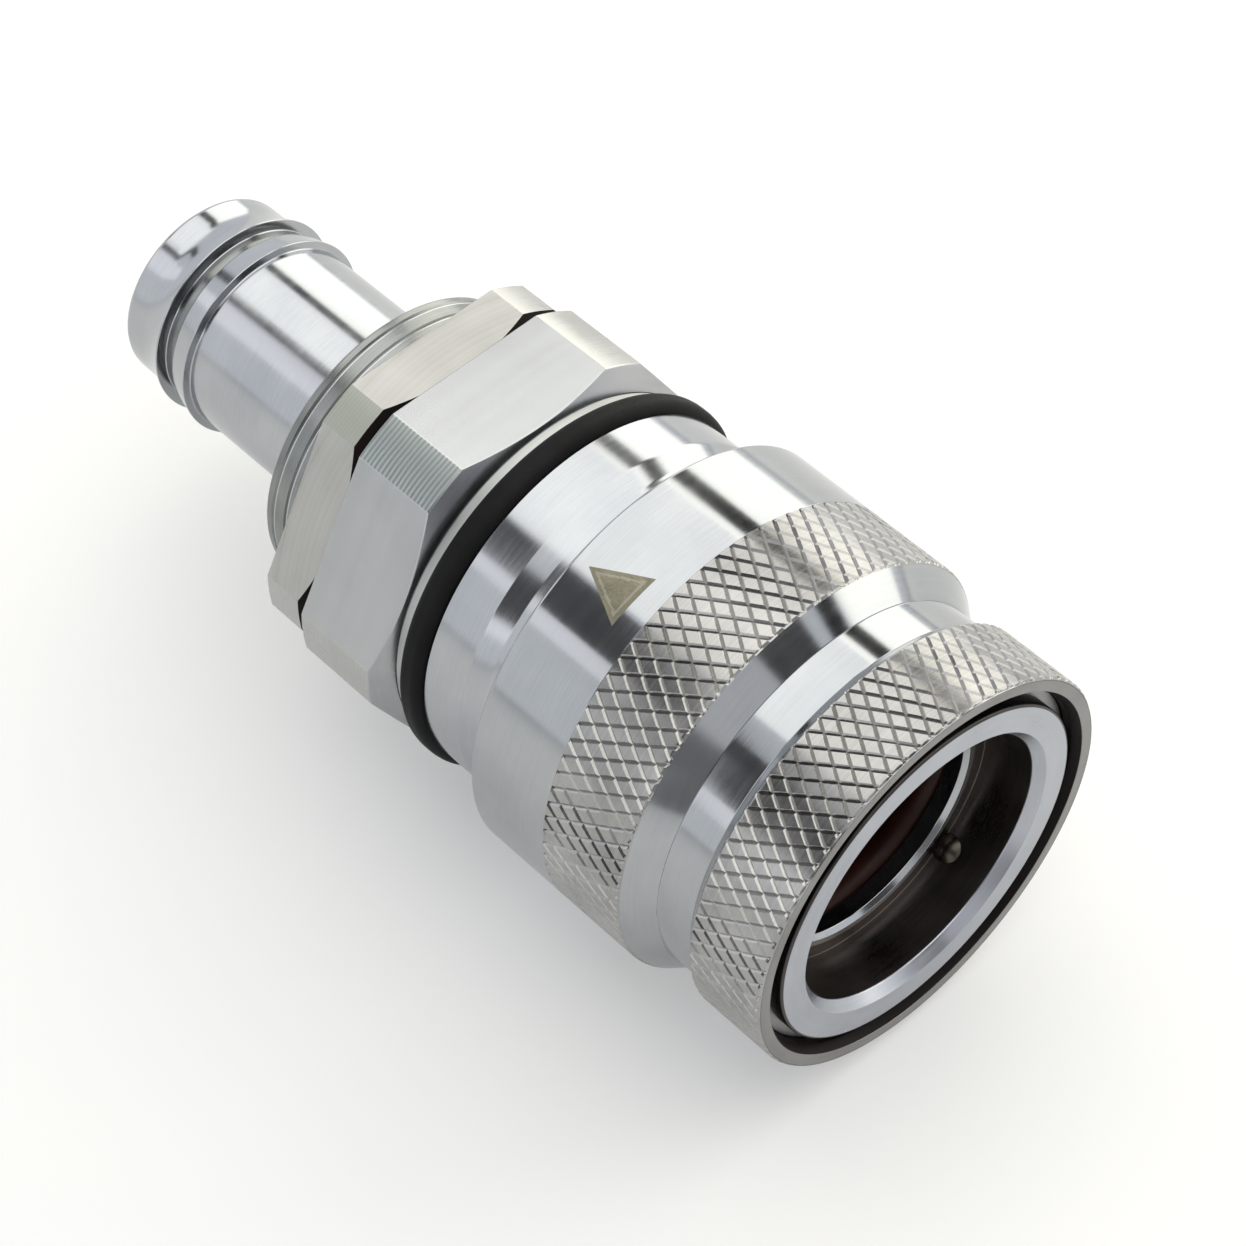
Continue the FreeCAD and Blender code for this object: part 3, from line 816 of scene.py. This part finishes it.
def coil(name, x_from, x_to, centre_r, wire, turns):
    """Round wire in half turns that tilt alternately and join smoothly, as in the CAD, with closed ends."""
    steps, sides = 20, 10
    half_len = (x_to - x_from - wire) / (2 * turns)
    tilted_r = math.hypot(centre_r, half_len / 2)
    points, faces = [], []
    for n in range(2 * turns * steps + 1):
        half, step = divmod(n, steps)
        way = -1 if half % 2 else 1
        turn = math.pi * step / steps
        x = x_from + wire / 2 + (half + (1 - math.cos(turn)) / 2) * half_len
        c, s = math.cos(turn), math.sin(turn)
        centre = Vector((x, way * centre_r * c, way * tilted_r * s))
        along = Vector((half_len / 2 * s, -way * centre_r * s, way * tilted_r * c))
        across = Vector((0, centre.y, centre.z)).cross(along).normalized()
        outward = along.cross(across).normalized()
        for side in range(sides):
            angle = 2 * math.pi * side / sides
            points.append((centre + (outward * math.cos(angle) + across * math.sin(angle)) * wire / 2) * MM)
    rings = len(points) // sides
    for k in range(rings - 1):
        here, there = k * sides, (k + 1) * sides
        for side in range(sides):
            following = (side + 1) % sides
            faces.append((here + side, there + side, there + following, here + following))
    faces.append(tuple(range(sides)))
    faces.append(tuple(reversed(range((rings - 1) * sides, rings * sides))))
    mesh = bpy.data.meshes.new(name)
    mesh.from_pydata(points, [], faces)
    mesh.validate()
    mesh.shade_smooth()
    return new_object(name, mesh)


def build_springs():
    """Coil springs, each attached to its body in place of its CAD node."""
    for name, node, body, joint, travel, x_fixed, x_free, centre_r, wire, turns in SPRINGS:
        made = coil(name, x_fixed, x_free, centre_r, wire, turns)
        made.data.materials.append(SPRING)
        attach(made, body)
        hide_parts(node)
        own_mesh(made)


def dress_inside():
    """Materials of the pieces that keep their CAD shapes."""
    # The lock balls take steel darkened as painted shade of the bore.
    for number in range(1, 5):
        dress("lock_ball_%d" % number, BALL_PAINTED_SHADE)
    for node in ("stop_ring", "guide_clip"):
        dress(node, SPRING)
    for node in ("joint_seal", "valve_seal"):
        dress(node, BLACK)
    dress("bore_seal", PACKING)
    # The poppet takes near-black painted shade of the deep bore.
    dress("valve_poppet", VALVE_PAINTED_SHADE)
    dress("valve_guide", GUIDE)


def look_at(made, place, aim, roll):
    """Puts a camera at a place, turns it to a point and rolls it."""
    place, aim = Vector(place), Vector(aim)
    turn = (aim - place).to_track_quat("-Z", "Y").to_matrix().to_4x4()
    made.matrix_world = Matrix.Translation(place) @ turn @ Matrix.Rotation(math.radians(roll), 4, "Z")


def build_floor():
    """Pale floor that goes to white in view and keeps the shadow."""
    look = Look("floor")
    speckle = look.noise(look.place(), 40.0, detail=4.0)
    colour = look.tint(look.between(speckle, 0, 1, 0.35, 0.65), (0.72, 0.725, 0.73), (0.74, 0.74, 0.74))
    look.set(colour=colour, rough=0.9, specular=0.1)
    rays = look.add("LightPath")
    seen = look.math("MAXIMUM", rays.outputs["Is Camera Ray"], rays.outputs["Is Transmission Ray"])
    seen = look.math("MULTIPLY", seen, FLOOR_GLOW)
    mirrored = look.math("MULTIPLY", rays.outputs["Is Glossy Ray"], FLOOR_GLOW_MIRRORED)
    strength = look.math("MAXIMUM", seen, mirrored)
    glow = look.add("Emission", {"Color": (1, 1, 1, 1), "Strength": strength})
    both = look.add("AddShader", {0: look.shader.outputs[0], 1: glow.outputs[0]})
    look.tree.links.new(both.outputs[0], look.tree.nodes["Material Output"].inputs["Surface"])
    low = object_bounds()[0][2]
    bpy.ops.mesh.primitive_grid_add(
        x_subdivisions=8, y_subdivisions=8, size=FLOOR_SIZE, location=(0, 0, low)
    )
    floor = bpy.context.object
    floor.name = "floor"
    floor.data.materials.append(look.material)


# Directions across the axis, from which the studio's angles are measured: the camera's side and the light's
FRONT = Vector((0, -math.sin(VIEW_TILT), math.cos(VIEW_TILT)))
SIDE = Vector((0, math.cos(VIEW_TILT), math.sin(VIEW_TILT)))


def about_axis(angle, reach, x):
    """Point at an angle about the axis, a reach away from it, in metres."""
    turn = math.radians(angle)
    return Vector((x, 0, 0)) + (FRONT * math.cos(turn) + SIDE * math.sin(turn)) * reach


def soft_box(name, angle, width, reach, radiance, colour):
    """Long soft lamp beside the axis; width is its angle in degrees."""
    lamp = bpy.data.lights.new(name, "AREA")
    lamp.shape = "RECTANGLE"
    lamp.size = 2 * reach * math.tan(math.radians(width / 2))
    lamp.size_y = LAMP_LENGTH
    lamp.energy = radiance * math.pi * lamp.size * lamp.size_y
    lamp.color = colour
    made = bpy.data.objects.new(name, lamp)
    bpy.context.scene.collection.objects.link(made)
    place = about_axis(angle, reach, LAMP_X)
    inward = (Vector((LAMP_X, 0, 0)) - place).normalized()
    across = inward.cross(Vector((1, 0, 0))).normalized()
    made.matrix_world = Matrix((
        (across.x, 1, -inward.x, place.x),
        (across.y, 0, -inward.y, place.y),
        (across.z, 0, -inward.z, place.z),
        (0, 0, 0, 1),
    ))


def card(name, corners, faces, low, high):
    """Card of the studio, seen only in what the metal reflects."""
    look = Look(name)
    grain = look.noise(look.place(), 60.0)
    colour = look.tint(grain, (low, low, low * 1.02), (high, high, high * 1.02))
    glow = look.add("Emission", {"Color": colour})
    look.tree.links.new(glow.outputs[0], look.tree.nodes["Material Output"].inputs["Surface"])
    mesh = bpy.data.meshes.new(name)
    mesh.from_pydata(corners, [], faces)
    mesh.materials.append(look.material)
    made = new_object(name, mesh)
    made.visible_camera = False
    made.visible_shadow = False
    made.visible_diffuse = False


def strip_card(name, stops, low, high):
    """Long card beside the axis; a stop is a place along the axis and the angles of both edges there."""
    corners = []
    for x, first, second in stops:
        corners += [about_axis(first, CARD_REACH, x), about_axis(second, CARD_REACH, x)]
    faces = [(2 * k, 2 * k + 1, 2 * k + 3, 2 * k + 2) for k in range(len(stops) - 1)]
    card(name, corners, faces, low, high)


def end_card(name, fields, low, high):
    """Card across the axis in front of the mouth, of fields (low y, high y, low z, high z)."""
    corners = []
    for y_low, y_high, z_low, z_high in fields:
        for y, z in ((y_low, z_low), (y_high, z_low), (y_high, z_high), (y_low, z_high)):
            corners.append((CARD_REACH, y, z))
    faces = [tuple(range(4 * k, 4 * k + 4)) for k in range(len(fields))]
    card(name, corners, faces, low, high)


def build_studio():
    """World, soft boxes, dark cards and camera."""
    world = bpy.data.worlds.new("studio")
    bpy.context.scene.world = world
    world.use_nodes = True
    tree = world.node_tree
    background = tree.nodes["Background"]
    background.inputs["Color"].default_value = (0.95, 0.975, 1.0, 1)
    rays = tree.nodes.new("ShaderNodeLightPath")
    shown = [rays.outputs[kind] for kind in ("Is Camera Ray", "Is Glossy Ray", "Is Transmission Ray")]
    either = tree.nodes.new("ShaderNodeMath")
    either.operation = "MAXIMUM"
    every = tree.nodes.new("ShaderNodeMath")
    every.operation = "MAXIMUM"
    tree.links.new(shown[0], either.inputs[0])
    tree.links.new(shown[1], either.inputs[1])
    tree.links.new(either.outputs[0], every.inputs[0])
    tree.links.new(shown[2], every.inputs[1])
    strength = tree.nodes.new("ShaderNodeMapRange")
    strength.inputs["To Min"].default_value = 0.55
    strength.inputs["To Max"].default_value = 1.0
    tree.links.new(every.outputs[0], strength.inputs["Value"])
    tree.links.new(strength.outputs[0], background.inputs["Strength"])
    soft_box("box_top", 37, 60, 0.40, 0.91, (1, 0.96, 0.86))
    soft_box("box_side", 90, 46, 0.50, 1.5, (1, 0.95, 0.80))
    strip_card("card_front", [
        (0.35, -37, -8), (-0.175, -37, -8), (-0.195, -17, 5), (-0.245, -17, 5), (-0.275, 3, 14),
        (-0.31, 3, 14), (-0.33, 0, 8), (-0.45, 0, 8), (-0.60, 20, 34), (-1.0, 20, 34),
    ], 0.09, 0.12)
    strip_card("card_pale", [
        (0.35, -47, -37), (-0.175, -47, -37), (-0.195, -26, -17), (-0.245, -26, -17), (-0.275, -22, 3),
        (-0.31, -22, 3), (-0.33, -26, 0), (-0.45, -26, 0), (-0.60, -26, -4), (-1.0, -26, -4),
    ], 1.42, 1.48)
    strip_card("card_edge", [
        (0.35, 71, 81), (-0.245, 71, 81), (-0.275, 57, 67),
        (-0.31, 57, 67), (-0.33, 58, 68), (-0.45, 58, 68),
    ], 0.01, 0.03)
    end_card("card_end", [(-0.46, 0.030, -0.36, 0.12), (-0.46, -0.235, 0.12, 0.42)], 0.22, 0.26)
    end_card("card_end_pale", [(-0.235, 0.030, 0.12, 0.42)], 0.74, 0.80)
    end_card("card_end_dark", [(0.030, 0.240, 0.12, 0.42)], 0.05, 0.08)
    camera = bpy.data.cameras.new("camera")
    camera.lens = CAMERA_LENS
    camera.sensor_width = 36
    camera.clip_start = 0.005
    made = bpy.data.objects.new("camera", camera)
    bpy.context.scene.collection.objects.link(made)
    look_at(made, [c * MM for c in CAMERA_AT], [c * MM for c in CAMERA_AIM], CAMERA_ROLL)
    bpy.context.scene.camera = made
    bpy.context.scene.view_settings.view_transform = "Standard"


build_body()
build_barb()
build_bumper()
build_sleeve()
build_arrow()
build_springs()
dress_inside()
build_floor()
build_studio()
